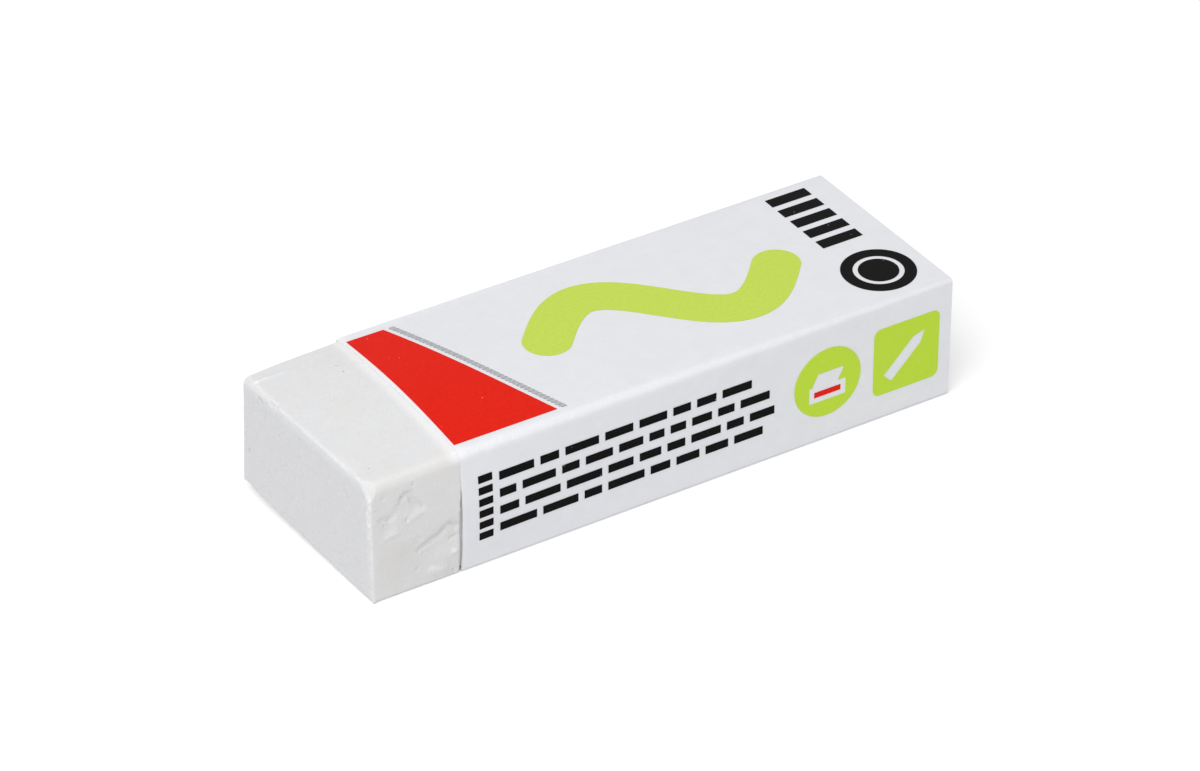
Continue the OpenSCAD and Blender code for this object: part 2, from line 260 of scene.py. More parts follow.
# the nose's low near corner, drawn out a little, nicks in its top edge, and a burr behind
press(((nose_at(near), near, under),), Vector((-0.1, -0.1, -0.1)) * MM, 0.6 * MM, "SHARP")
press(((nose_at(5.5 * MM), 4.9 * MM, top - 0.15 * MM), (nose_at(5.5 * MM), 6.1 * MM, top - 0.35 * MM)),
      Vector((0.14, 0, -0.12)) * MM, 0.4 * MM, "SHARP")
press(((nose_at(-7.5 * MM), -7.2 * MM, top - 0.1 * MM), (nose_at(-7.5 * MM), -7.9 * MM, top - 0.1 * MM)),
      Vector((0.1, 0, -0.1)) * MM, 0.35 * MM, "SHARP")
press(((nose_x + 0.75 * MM, 9.4 * MM, top), (mouth_x - 6.6 * MM, 9.4 * MM, top)),
      upward * 0.1, 0.35 * MM, "SHARP")


# the rest of the bar, which the sleeve hides
bpy.ops.mesh.select_all(action="SELECT")
bpy.ops.mesh.bisect(
    plane_co=(hidden_from, 0, 0), plane_no=(1, 0, 0), clear_outer=True, threshold=1e-7)
tail_slice, tail_slices = 1 * MM, 24
for number in range(tail_slices):
    bpy.ops.mesh.extrude_edges_move(TRANSFORM_OT_translate={"value": (tail_slice, 0, 0)})
bpy.ops.mesh.extrude_edges_move(TRANSFORM_OT_translate={
    "value": (tail_x - tail_edge_round - hidden_from - tail_slices * tail_slice, 0, 0)})
# its back end, with rounded edges
tail_steps = 4
for step in range(1, tail_steps + 1):
    before, after = (math.radians(90 * s / tail_steps) for s in (step - 1, step))
    onward = tail_edge_round * (math.sin(after) - math.sin(before))
    inset = [2 * tail_edge_round * (1 - math.cos(turn)) for turn in (before, after)]
    bpy.ops.mesh.extrude_edges_move(TRANSFORM_OT_translate={"value": (onward, 0, 0)})
    bpy.ops.transform.resize(
        value=(1, (width - inset[1]) / (width - inset[0]), (height - inset[1]) / (height - inset[0])),
        center_override=middle)
bpy.ops.mesh.edge_face_add()
bpy.ops.mesh.select_all(action="SELECT")
bpy.ops.mesh.normals_make_consistent(inside=False)
bpy.ops.object.mode_set(mode="OBJECT")


def opened(x):
    """How far the sleeve stands open, from 1 at the mouth to 0 at the end of its bow."""
    return max(0, 1 - (x - mouth_x) / bow_reach) ** 2


def across(value, low, high):
    """A half wave from 0 at one place, up to 1 midway, and down to 0 at another."""
    return math.sin(math.pi * min(1, max(0, (value - low) / (high - low))))


def crowned(x):
    """How far the bar bulges, from 0 at the nose to 1 at the mouth, and on as the sleeve bows."""
    return opened(x) if x > mouth_x else max(0, (x - nose_x - 1 * MM) / (mouth_x - nose_x - 1 * MM))


def bare(p):
    """1 on the bare end, and 0 in the sleeve and the small groove at its mouth."""
    low = min(1, max(0, (11 * MM - p.z) / (4 * MM)))
    end = mouth_at(p.y) + (0.25 - 0.4 * low) * MM
    return min(1, max(0, (end - p.x) / (0.06 * MM + 0.08 * MM * low)))


def toward(value, centre, end):
    """How far a place lies from the bar's middle toward one face, from 0 to 1."""
    return min(1, max(0, (value - centre) / (end - centre)))


def at_corner(p, corner_y, corner_z):
    """How near a place is to one corner of the nose, from 0 to 1."""
    across_nose = (1 - abs(p.y - corner_y) / width) * (1 - abs(p.z - corner_z) / height)
    return max(0, across_nose * (1 - max(0, p.x - nose_at(p.y)) / (4 * MM)))


# each corner of the nose leans its own way, the bare end has swelled, and the bar bulges where it
# has bowed the sleeve open
swellings = {
    "lean_far_top": ("X", 0.24 * MM, lambda p: at_corner(p, far, top)),
    "lean_far_low": ("X", -0.34 * MM, lambda p: at_corner(p, far, under)),
    "lean_near_low": ("X", 0.08 * MM, lambda p: at_corner(p, near, under)),
    "near_swell": ("Y", -bare_swell, lambda p: bare(p) * toward(p.y, middle.y, near)),
    "low_swell": ("Z", -under, lambda p: bare(p) * toward(p.z, middle.z, under)),
    "far_swell": ("Y", 0.6 * bare_swell, lambda p: bare(p) * crowned(p.x) * toward(
        p.y, middle.y, far)),
    "top_swell": ("Z", 0.23 * MM, lambda p: bare(p) * crowned(p.x) * toward(p.z, middle.z, top)),
    "crown": ("Z", 0.95 * top_bow, lambda p: crowned(p.x) * toward(p.z, middle.z, top) * across(
        p.y, near + 0.7 * MM, far + 0.2 * MM)),
    "side_bulge": ("Y", -0.9 * side_bow, lambda p: crowned(p.x) * toward(p.y, middle.y, near) * across(
        p.z, under, top - 0.7 * MM))}
for name, (axis, strength, weight) in swellings.items():
    modify(block, "DISPLACE", direction=axis, strength=strength, mid_level=0,
           vertex_group=weigh(block, name, weight))


# chipped rims of the nose, and its slightly uneven rubbed faces
chips = bpy.data.textures.new("chips", "CLOUDS")
chips.noise_scale = 0.4 * MM
chips.noise_depth = 3
chips.contrast = 1.8
lumps = bpy.data.textures.new("lumps", "CLOUDS")
lumps.noise_scale = 2.2 * MM
lumps.noise_depth = 2
modify(block, "DISPLACE", texture=chips, strength=-0.12 * MM, mid_level=0.2,
       vertex_group=weigh(block, "chipped", lambda p: wear(p, 0.3 * MM)))
modify(block, "DISPLACE", texture=lumps, strength=0.06 * MM, mid_level=0.5,
       vertex_group=weigh(block, "shows", lambda p: bare(p)))
for name, amount in (
        ("worn", lambda p: wear(p, 0.2 * MM if p.z > top - 1 * MM else 0.34 * MM)),
        ("handled", handled),
        ("rubbed", lambda p: max(0, 1 - max(0, p.x - nose_at(p.y) - 0.2 * MM) / (0.5 * MM)))):
    kept = block.data.attributes.new(name, "FLOAT", "POINT")
    kept.data.foreach_set("value", [amount(vertex.co) for vertex in block.data.vertices])
bpy.ops.object.shade_smooth_by_angle(angle=math.radians(60))
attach(block, "block")
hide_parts("eraser_block")


def shade(red, green, blue):
    """A linear colour from its screen values out of 255."""
    def straighten(value):
        value /= 255
        return value / 12.92 if value <= 0.04045 else ((value + 0.055) / 1.055) ** 2.4
    return (straighten(red), straighten(green), straighten(blue), 1)


def put(tree, kind, inputs=None, **settings):
    """Adds a shader node. Each input is a value, or the socket that feeds it."""
    node = tree.nodes.new("ShaderNode" + kind)
    for name, value in settings.items():
        setattr(node, name, value)
    for name, value in (inputs or {}).items():
        if isinstance(value, bpy.types.NodeSocket):
            tree.links.new(value, node.inputs[name])
        else:
            node.inputs[name].default_value = value
    return node


def new_group(name, inputs, output):
    """An empty node group with these inputs and one output, and its two ends."""
    group = bpy.data.node_groups.new(name, "ShaderNodeTree")
    for label, kind in inputs.items():
        group.interface.new_socket(label, in_out="INPUT", socket_type="NodeSocket" + kind)
    group.interface.new_socket(output, in_out="OUTPUT", socket_type="NodeSocketFloat")
    given = group.nodes.new("NodeGroupInput").outputs
    return group, given, group.nodes.new("NodeGroupOutput").inputs[0]


def math_node(tree, operation, *values, clamp=False):
    """The result of a sum, product or other operation on values or sockets."""
    return put(tree, "Math", dict(enumerate(values)), operation=operation, use_clamp=clamp).outputs[0]


def vector_node(tree, operation, *values):
    """A vector operation on values or sockets."""
    return put(tree, "VectorMath", dict(enumerate(values)), operation=operation)


def use(tree, group, **inputs):
    """Places a node group in a material and returns what it puts out."""
    node = tree.nodes.new("ShaderNodeGroup")
    node.node_tree = group
    for name, value in inputs.items():
        if isinstance(value, bpy.types.NodeSocket):
            tree.links.new(value, node.inputs[name])
        else:
            node.inputs[name].default_value = value
    return node.outputs[0]


# dark specks: one round dot in some of the cells of a loose grid
specks, given, result = new_group(
    "specks", {"Place": "Vector", "Spacing": "Float", "Size": "Float", "Share": "Float"}, "Mask")
scale = math_node(specks, "DIVIDE", 1, given["Spacing"])
cells = put(specks, "TexVoronoi", {"Vector": given["Place"], "Scale": scale})
chance = put(specks, "SeparateColor", {"Color": cells.outputs["Color"]})
present = math_node(specks, "LESS_THAN", chance.outputs[0], given["Share"])
size = math_node(specks, "MULTIPLY", given["Size"], math_node(
    specks, "ADD", chance.outputs[1], 0.4))
reach = math_node(specks, "MULTIPLY", size, scale)
inside = math_node(specks, "SUBTRACT", 1, math_node(
    specks, "DIVIDE", cells.outputs["Distance"], reach), clamp=True)
solid = math_node(specks, "MULTIPLY", inside, 3, clamp=True)
specks.links.new(math_node(specks, "MULTIPLY", solid, present), result)

# a hair-thin mark along a slightly crooked line
hair, given, result = new_group(
    "hair_mark", {"Place": "Vector", "Start": "Vector", "Run": "Vector", "Width": "Float"}, "Mask")
wander = put(hair, "TexNoise", {"Vector": given["Place"], "Scale": 1 / (0.9 * MM), "Detail": 3})
shift = vector_node(hair, "SCALE", vector_node(
    hair, "SUBTRACT", wander.outputs["Color"], (0.5, 0.5, 0.5)).outputs[0])
shift.inputs["Scale"].default_value = 0.8 * MM
from_start = vector_node(hair, "SUBTRACT", vector_node(
    hair, "ADD", given["Place"], shift.outputs[0]).outputs[0], given["Start"]).outputs[0]
part = math_node(
    hair, "DIVIDE", vector_node(hair, "DOT_PRODUCT", from_start, given["Run"]).outputs["Value"],
    vector_node(hair, "DOT_PRODUCT", given["Run"], given["Run"]).outputs["Value"], clamp=True)
nearest = vector_node(hair, "SCALE", given["Run"])
hair.links.new(part, nearest.inputs["Scale"])
apart = vector_node(hair, "LENGTH", vector_node(
    hair, "SUBTRACT", from_start, nearest.outputs[0]).outputs[0]).outputs["Value"]
taper = math_node(hair, "MULTIPLY", given["Width"], math_node(
    hair, "SUBTRACT", 1.1, part))
hair.links.new(math_node(
    hair, "SUBTRACT", 1, math_node(hair, "DIVIDE", apart, taper), clamp=True), result)


def new_material(name):
    """An empty node material, its tree and the place on the object."""
    material = bpy.data.materials.new(name)
    material.use_nodes = True
    tree = material.node_tree
    tree.nodes.clear()
    return material, tree, put(tree, "TexCoord").outputs["Object"]


def tint(tree, mask, colour, other, amount=1):
    """Mixes a colour with another one by a mask, or by some amount of it."""
    part = mask if amount == 1 else math_node(tree, "MULTIPLY", mask, amount)
    return put(tree, "Mix", {0: part, 6: colour, 7: other}, data_type="RGBA").outputs[2]


def rescale(tree, value, low, high):
    """Softly turns a range of a value into 0 to 1."""
    return put(tree, "MapRange", {"Value": value, "From Min": low, "From Max": high},
               interpolation_type="SMOOTHSTEP").outputs["Result"]


# fine uneven shading, from 0 to 1, of patches about one size across
mottle, given, result = new_group("mottle", {"Place": "Vector", "Size": "Float"}, "Shade")
blotches = put(mottle, "TexNoise", {
    "Vector": given["Place"], "Scale": math_node(mottle, "DIVIDE", 1, given["Size"]),
    "Detail": 3, "Roughness": 0.6})
mottle.links.new(rescale(mottle, blotches.outputs["Fac"], 0.3, 0.7), result)


def mottled(tree, place, size, amount, colour, other):
    """Mottles a colour with another one."""
    return tint(tree, use(tree, mottle, Place=place, Size=size), colour, other, amount)


vinyl, tree, place = new_material("worn_white_vinyl")
rubbed = put(tree, "Attribute", attribute_name="rubbed").outputs["Fac"]
rim = put(tree, "Attribute", attribute_name="worn").outputs["Fac"]
handling = put(tree, "Attribute", attribute_name="handled").outputs["Fac"]
# milky white with a fine grain all over; the rubbed nose is greyer, partly worn and partly painted shade
colour = mottled(tree, place, 2.5 * MM, 1, shade(226, 225, 224), shade(226, 227, 229))
colour = tint(tree, rubbed, colour, shade(217, 217, 220), 0.6)
grain = use(tree, mottle, Place=place, Size=0.24 * MM)
fine = use(tree, mottle, Place=place, Size=0.12 * MM)
blotch = use(tree, mottle, Place=place, Size=0.7 * MM)
amount = math_node(tree, "MULTIPLY_ADD", rubbed, 0.12, 0.1)
colour = tint(tree, blotch, colour, shade(208, 209, 213), amount)
colour = tint(tree, grain, colour, shade(205, 206, 209), amount)
colour = tint(tree, fine, colour, shade(212, 211, 209), 0.1)
# rubbing dust and pinholes, scattered over the rubbed nose in loose clouds
cloud = math_node(tree, "MULTIPLY", rubbed, rescale(tree, use(
    tree, mottle, Place=place, Size=1.6 * MM), 0.45, 0.95))
for low_end, high_end, strength, crumb in (
        (0.7, 1, 0.3, shade(172, 171, 166)), (0.25, 0, 0.4, shade(232, 233, 237))):
    crumbs = math_node(tree, "MULTIPLY", cloud, rescale(tree, grain, low_end, high_end))
    colour = tint(tree, crumbs, colour, crumb, strength)
# fingers have yellowed the long near edge, the bare near side is darkened as painted shade, and the
# top is painted lighter as a highlight where it swells up to the card and on inside the sleeve
colour = tint(tree, handling, colour, shade(226, 225, 222))
axes = put(tree, "SeparateXYZ", {"Vector": place})
# painted shade over the bare near side
near_side_painted_shade = math_node(
    tree, "MULTIPLY", rescale(tree, axes.outputs["Y"], near + 0.2 * MM, near - 0.1 * MM),
    rescale(tree, axes.outputs["X"], mouth_x + 0.5 * MM, mouth_x + 0.2 * MM))
colour = tint(tree, near_side_painted_shade, colour, shade(212, 211, 211), 0.35)
# painted highlight on the top where it swells up to the card, and on inside the sleeve
upper = rescale(tree, axes.outputs["Z"], top - 1 * MM, top)
by_mouth = rescale(tree, axes.outputs["X"], mouth_x - 1.15 * MM, mouth_x + 0.1 * MM)
crown_by_mouth_painted_light = math_node(tree, "MULTIPLY", upper, by_mouth)
colour = tint(tree, crown_by_mouth_painted_light, colour, shade(243, 242, 243), 0.8)
# a paler band under the nose's top edge, painted as the light on its worn bevel, and freshly
# broken white along the worn rims
bevel_painted_light = math_node(tree, "MULTIPLY", rubbed, rescale(
    tree, axes.outputs["Z"], top - 1.4 * MM, top - 0.7 * MM))
colour = tint(tree, bevel_painted_light, colour, shade(228, 229, 232), 0.4)
colour = tint(tree, rim, colour, shade(235, 235, 236), 0.3)
chipped = math_node(tree, "MULTIPLY", rescale(tree, grain, 0.3, 0.7), rescale(tree, blotch, 0.4, 0.8))
flecks = math_node(tree, "MULTIPLY", rescale(tree, rim, 0.25, 0.8), chipped)
fewer_low_down = rescale(tree, axes.outputs["Z"], -6 * MM, top)
colour = tint(tree, flecks, colour, shade(238, 238, 240), fewer_low_down)
# specks of dirt
small = use(tree, specks, Place=place, Spacing=0.9 * MM, Size=0.06 * MM, Share=0.9)
large = use(tree, specks, Place=place, Spacing=1.9 * MM, Size=0.085 * MM, Share=0.55)
colour = tint(tree, small, colour, shade(130, 127, 120), 0.35)
colour = tint(tree, large, colour, shade(112, 112, 118), 0.5)
# hair marks and scratches, dark dots painted as shade in pits and a nick, painted shade along the
# dents' creases, painted highlights and lighter patches on lips, a burr and dent floors, and one pink
# smudge: place from the mouth, run, thickness, strength
dark, crease_painted_shade = shade(120, 120, 128), shade(186, 188, 196)
painted_highlight, pink = shade(246, 246, 249), shade(226, 196, 190)
marks = (
    ((-2.3, 7.4, 13.4), (0.45, -0.4, 0), 0.07, 0.6, dark),
    ((-3.05, 6.9, 13.4), (0.2, -0.55, 0), 0.08, 0.6, dark),
    ((-9.7, 2.5, 13), (0.4, -0.65, 0), 0.07, 0.5, dark),
    ((-6.3, 8.4, 13.1), (0.2, -0.3, 0), 0.07, 0.4, dark),
    ((-4.6, 1.6, 13.3), (0.65, -0.25, 0), 0.05, 0.4, dark),
    # painted light and shade on the top by the near edge: a lit streak, a shaded bluish patch, a lit
    # patch
    ((-4.95, -6.5, 13.2), (1.9, -0.3, 0), 0.25, 0.3, painted_highlight),
    ((-4.9, -8.0, 13.15), (1.1, -0.5, 0), 0.45, 0.35, shade(214, 216, 225)),
    ((-8.9, -5.2, 13), (0.5, -4.4, 0), 1.3, 0.4, shade(231, 230, 227)),
    ((-2.2, 6.0, 13.4), (-0.1, -0.45, 0), 0.12, 0.5, dark),
    # painted highlight along the burr by the far edge
    ((-9.8, 9.4, 12.93), (3.3, 0, 0.05), 0.3, 0.85, painted_highlight),
    ((-4.1, 9.5, 13.1), (0.3, -0.7, 0), 0.3, 0.5, pink),
    ((-10.05, 8.0, 12.15), (0, -0.2, 0.05), 0.2, 0.6, dark),
    ((-10.05, 8.0, 12.1), (0, -2.3, 0.2), 0.17, 0.4, dark),
    # painted shadow under the nick in the nose's top edge
    ((-9.93, 5.45, 12.85), (0, 0.05, -0.7), 0.2, 0.5, dark),
    ((-10.42, 9.87, 5.3), (0, -0.05, -0.85), 0.2, 0.6, dark),
    # painted shade along the dents' brows and creases
    ((-6.1, -11.1, 10.8), (0.45, 0, 0.3), 0.2, 0.4, crease_painted_shade),
    ((-5.6, -11.1, 11.1), (0.6, 0, -0.1), 0.24, 0.45, crease_painted_shade),
    ((-3.9, -11.25, 9.25), (-0.9, 0, 1.2), 0.17, 0.5, crease_painted_shade),
    ((-4.5, -11.2, 10.0), (-0.6, 0, 1.0), 0.2, 0.35, crease_painted_shade),
    ((-6.1, -11.1, 10.6), (-1.1, 0, -1.8), 0.13, 0.25, crease_painted_shade),
    ((-7.2, -11.1, 8.8), (-0.85, 0, 0.05), 0.2, 0.35, crease_painted_shade),
    ((-4.1, -11.1, 4.75), (1.8, 0, 0.6), 0.26, 0.4, crease_painted_shade),
    ((-2.3, -11.2, 5.35), (1.25, 0, 0.9), 0.26, 0.4, crease_painted_shade),
    ((-1.1, -11.2, 6.25), (0.7, 0, -0.5), 0.22, 0.35, crease_painted_shade),
    # painted highlights on the dents' raised lips
    ((-5.3, -11.2, 8.0), (1.3, 0, 0.5), 0.13, 0.7, painted_highlight),
    ((-7.7, -11.2, 6.85), (1.3, 0, 0.2), 0.13, 0.6, painted_highlight),
    ((-0.6, -11.5, 3.05), (0.1, 0, -0.3), 0.4, 0.5, painted_highlight),
    ((-2.9, -11.4, 1.65), (1.1, 0, -0.15), 0.7, 0.4, painted_highlight),
    # painted light on the floor of the mouth dent
    ((-2.1, -11.4, 3.9), (1.2, 0, -0.6), 1.7, 0.3, shade(222, 223, 228)),
    ((-6.2, -11.2, 4.4), (1.6, 0, 1.6), 2.6, 0.25, shade(202, 199, 188)),
    # dark lines painted as shade in the mouth dent's sharp crease and under its low lip
    ((-3.2, -11.3, 1.5), (0.35, 0, -0.15), 0.1, 0.6, dark),
    ((-1.05, -11.4, 4.5), (0.7, 0, 0.15), 0.08, 0.6, dark))
# dark dots painted as shade in the pits
marks += tuple(((x, near / MM - 0.25, z), (0.02, 0, 0), 0.12, 0.6, dark) for x, z in pits)
for (x, y, z), run, thick, strength, mark_colour in marks:
    mark = use(tree, hair, Place=place, Start=(mouth_x + x * MM, y * MM, z * MM),
               Run=Vector(run) * MM, Width=thick * MM)
    colour = tint(tree, mark, colour, mark_colour, strength)
relief = math_node(tree, "SUBTRACT", math_node(tree, "ADD", grain, math_node(
    tree, "MULTIPLY", fine, 0.5)), math_node(tree, "MULTIPLY", large, 1.5))
bump = put(tree, "Bump", {"Height": relief, "Strength": 0.4, "Distance": 0.03 * MM})
surface = put(tree, "BsdfPrincipled", {
    "Base Color": colour, "Roughness": 0.6, "Normal": bump.outputs["Normal"],
    "Specular IOR Level": 0.2, "Subsurface Weight": 0.3, "Subsurface Scale": 0.6 * MM,
    "Subsurface Radius": (1, 1, 1)})
put(tree, "OutputMaterial", {"Surface": surface.outputs[0]})
block.data.materials.append(vinyl)


# ---- Card sleeve ----
# A tube folded from one strip of satin coated card, white outside. Its far side laps over a flap
# and is glued to it. Wear has softened and whitened the folds at the top, which are also painted
# lighter as a highlight. The block's swelled end has bowed the top and the near side of the mouth.
card_t = 0.25 * MM
layer_gap = 0.02 * MM
mouth_fold = 1.05 * MM
crisp_fold = 0.4 * MM
lap_z = 0.7 * MM
flap_h = 9.5 * MM
lip_drop = 0.1 * MM
lip_reach = 0.6 * MM
length_slice = 0.8 * MM
panel_slice = 0.6 * MM
sleeve_near = sleeve_low.y + side_bow
sleeve_far = sleeve_high.y
sleeve_under = sleeve_low.z
sleeve_top = sleeve_high.z - top_bow
back_x = sleeve_high.x

sleeve = add_box(
    "folded_card_sleeve", Vector((mouth_x, sleeve_near, sleeve_under)),
    Vector((back_x, sleeve_far, sleeve_top)))
choose(sleeve, "faces", lambda f: abs(f.normal.x) > 0.9)
bpy.ops.mesh.delete(type="ONLY_FACE")
choose(sleeve, "edges", lambda e: along(e, 0) and e.verts[0].co.y > 0 and e.verts[0].co.z < lap_z)
bpy.ops.mesh.edge_split(type="EDGE")


def seam_edge(facing):
    """Selects the long edge, at the open seam, of the panel that faces this way."""
    choose(sleeve, "edges", lambda e: (
        along(e, 0) and len(e.link_faces) == 1 and e.link_faces[0].normal.dot(facing) > 0.9))


seam_edge(Vector((0, 1, 0)))
bpy.ops.transform.translate(value=(0, 0, lap_z))
seam_edge(Vector((0, 0, -1)))
bpy.ops.transform.translate(value=(0, -card_t - layer_gap, 0))
bpy.ops.mesh.extrude_edges_move(TRANSFORM_OT_translate={"value": (0, 0, flap_h)})
round_edges(sleeve, lambda e: (
    along(e, 0) and e.verts[0].co.z > middle.z and e.verts[0].co.y < 0), mouth_fold, 8)
round_edges(sleeve, lambda e: (
    along(e, 0) and len(e.link_faces) == 2 and (e.verts[0].co.z < middle.z or e.verts[0].co.y > 0)
    and abs(e.calc_face_angle()) > 1), crisp_fold, 6)
# the near fold at the top is crisp too at the back end
choose(sleeve, "verts", lambda v: (
    v.co.x > 0 and max(v.co.y - sleeve_near, sleeve_top - v.co.z) < 1.01 * mouth_fold))
bpy.ops.transform.resize(
    value=(1, crisp_fold / mouth_fold, crisp_fold / mouth_fold),
    center_override=(0, sleeve_near, sleeve_top))


def slice_up(low, high, step, axis):
    """Cuts the card across an axis at even steps between two places."""
    facing = Vector((0, 0, 0))
    facing[axis] = 1
    count = round((high - low) / step)
    for number in range(1, count + 1):
        bpy.ops.mesh.select_all(action="SELECT")
        bpy.ops.mesh.bisect(
            plane_co=facing * (low + (high - low) * number / count), plane_no=facing,
            threshold=1e-7)


bpy.ops.object.mode_set(mode="EDIT")
slice_up(mouth_x, mouth_x + lip_reach, lip_reach / 6, 0)
slice_up(mouth_x + lip_reach, back_x - 0.1 * MM, length_slice, 0)
slice_up(sleeve_near + mouth_fold, sleeve_far - crisp_fold, panel_slice, 1)
slice_up(sleeve_under + crisp_fold, sleeve_top - mouth_fold, panel_slice, 2)
bpy.ops.object.mode_set(mode="OBJECT")


def lip(x):
    """How far the mouth's edge is rubbed down, from 1 at the edge to 0 behind its lip."""
    return max(0, 1 - (x - mouth_x) / lip_reach) ** 2


def fold_at(x):
    """Radius of the near fold at the top, which is crisper toward the back."""
    return mouth_fold + (crisp_fold - mouth_fold) * (x - mouth_x) / (back_x - mouth_x)


def over_top(p):
    """How far out the top panel is pushed, from 0 at its folds to 1 midway."""
    return across(p.y, sleeve_near + fold_at(p.x), sleeve_far - crisp_fold) * (
        p.z > sleeve_top - 0.01 * MM)


def over_side(p):
    """The same for the near side's panel."""
    return across(p.z, sleeve_under + crisp_fold, sleeve_top - fold_at(p.x)) * (
        p.y < sleeve_near + 0.01 * MM)


# the open mouth, its rubbed lip, and its edge, which is cut a little out of square
bows = {
    "top_bow": ("Z", top_bow, lambda p: over_top(p) * opened(p.x)),
    "side_bow": ("Y", -side_bow, lambda p: over_side(p) * opened(p.x)),
    "top_lip": ("Z", -lip_drop, lambda p: over_top(p) * lip(p.x)),
    "side_lip": ("Y", lip_drop / 2, lambda p: over_side(p) * lip(p.x)),
    "corner_lip": ("Z", -1.5 * lip_drop, lambda p: lip(p.x) * toward(p.z, middle.z, top) * max(
        0, 1 - (sleeve_far - p.y) / (2 * MM))),
    "out_of_square": ("X", 1 * MM, lambda p: (mouth_at(p.y) - mouth_x) / MM * max(
        0, 1 - (p.x - mouth_x) / (1.5 * MM)))}
# every weight is worked out on the flat card, before any of it moves
for name, (axis, strength, weight) in bows.items():
    weigh(sleeve, name, weight)
for name, (axis, strength, weight) in bows.items():
    modify(sleeve, "DISPLACE", direction=axis, strength=strength, mid_level=0, vertex_group=name)
# the mouth's edge isn't quite straight any more either
frayed = bpy.data.textures.new("frayed", "CLOUDS")
frayed.noise_scale = 1.6 * MM
modify(sleeve, "DISPLACE", direction="X", texture=frayed, strength=0.09 * MM, mid_level=0.5,
       vertex_group=weigh(sleeve, "mouth_edge", lambda p: float(p.x < mouth_at(p.y) + 0.01 * MM)))
bpy.ops.object.mode_set(mode="EDIT")
bpy.ops.mesh.select_all(action="SELECT")
bpy.ops.mesh.normals_make_consistent(inside=False)
modify(sleeve, "SOLIDIFY", thickness=card_t, offset=-1, material_offset=1, material_offset_rim=2)
bpy.ops.object.shade_smooth_by_angle(angle=math.radians(50))
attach(sleeve, "sleeve")
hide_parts("card_sleeve")

card, tree, place = new_material("satin_white_card")
colour = mottled(tree, place, 1.8 * MM, 1, shade(226, 227, 231), shade(229, 230, 234))
colour = mottled(tree, place, 0.16 * MM, 0.22, colour, shade(215, 216, 222))
dust = use(tree, specks, Place=place, Spacing=1.3 * MM, Size=0.06 * MM, Share=0.6)
colour = tint(tree, dust, colour, shade(150, 150, 157), 0.4)
for start, run in (
        ((mouth_x + 17 * MM, 3.8 * MM, sleeve_top), (0.9, -0.7, 0)),
        ((mouth_x + 4 * MM, sleeve_near, 8.9 * MM), (0.9, 0, 0.25)),
        ((mouth_x + 20 * MM, sleeve_near, 2.1 * MM), (0.6, 0, 0.3))):
    mark = use(tree, hair, Place=place, Start=start, Run=Vector(run) * MM, Width=0.06 * MM)
    colour = tint(tree, mark, colour, shade(140, 141, 148), 0.6)
# the coating is rubbed and cracked white along the folds at the top, and greyer in patches there,
# and the folds are painted lighter as a highlight; the highlight and the cracks fade toward the back
axes = put(tree, "SeparateXYZ", {"Vector": place})
wander = math_node(tree, "MULTIPLY_ADD", use(
    tree, mottle, Place=place, Size=1.1 * MM), 0.35 * MM, -0.18 * MM)
fold_highlight_fading = math_node(tree, "MULTIPLY_ADD", math_node(
    tree, "SUBTRACT", axes.outputs["X"], mouth_x), -1.2 / (back_x - mouth_x), 1, clamp=True)
cracks = math_node(tree, "MULTIPLY", rescale(tree, use(
    tree, mottle, Place=place, Size=0.2 * MM), 0.6, 0.95), 0.4)
for fold_y, facing in ((sleeve_near, 1), (sleeve_far, -1)):
    from_fold = math_node(tree, "MULTIPLY", math_node(
        tree, "SUBTRACT", axes.outputs["Y"], fold_y), facing)
    from_fold = math_node(tree, "ADD", from_fold, math_node(
        tree, "SUBTRACT", axes.outputs["Z"], sleeve_top))
    from_fold = math_node(tree, "ADD", from_fold, wander)
    band = math_node(tree, "MULTIPLY", rescale(tree, from_fold, -0.8 * MM, -0.2 * MM), math_node(
        tree, "SUBTRACT", 1, rescale(tree, from_fold, 0.2 * MM, 1.5 * MM)))
    dulled = math_node(tree, "MULTIPLY", band, rescale(tree, use(
        tree, mottle, Place=place, Size=0.25 * MM), 0.5, 0.9))
    colour = tint(tree, dulled, colour, shade(217, 218, 224), 0.4)
    # painted highlight along the fold, with the coating's cracks whiter still
    band = math_node(tree, "MULTIPLY", band, fold_highlight_fading)
    colour = tint(tree, band, colour, shade(239, 240, 243), 0.4)
    colour = tint(tree, band, colour, shade(249, 249, 251), cracks)
# and the top of the mouth is rubbed white, and painted lighter there as a highlight
by_mouth = rescale(tree, axes.outputs["X"], mouth_x + 1.5 * MM, mouth_x + 0.5 * MM)
upper = rescale(tree, axes.outputs["Z"], sleeve_top - 1.2 * MM, sleeve_top - 0.3 * MM)
card_lip_wear_and_highlight = math_node(tree, "MULTIPLY", upper, by_mouth)
colour = tint(tree, card_lip_wear_and_highlight, colour, shade(241, 240, 243), 0.6)
relief = use(tree, mottle, Place=place, Size=0.5 * MM)
bump = put(tree, "Bump", {"Height": relief, "Strength": 0.1, "Distance": 0.02 * MM})
surface = put(tree, "BsdfPrincipled", {
    "Base Color": colour, "Roughness": 0.45, "Normal": bump.outputs["Normal"],
    "Specular IOR Level": 0.2})
put(tree, "OutputMaterial", {"Surface": surface.outputs[0]})


def bare_board(name, pale, dull):
    """Unprinted board, with its pulp showing as soft flecks."""
    board, tree, place = new_material(name)
    colour = mottled(tree, place, 0.3 * MM, 0.8, shade(*pale), shade(*dull))
    pulp = use(tree, mottle, Place=place, Size=0.12 * MM)
    bump = put(tree, "Bump", {"Height": pulp, "Strength": 0.4, "Distance": 0.03 * MM})
    surface = put(tree, "BsdfPrincipled", {
        "Base Color": colour, "Roughness": 0.85, "Normal": bump.outputs["Normal"],
        "Specular IOR Level": 0.1})
    put(tree, "OutputMaterial", {"Surface": surface.outputs[0]})
    return board


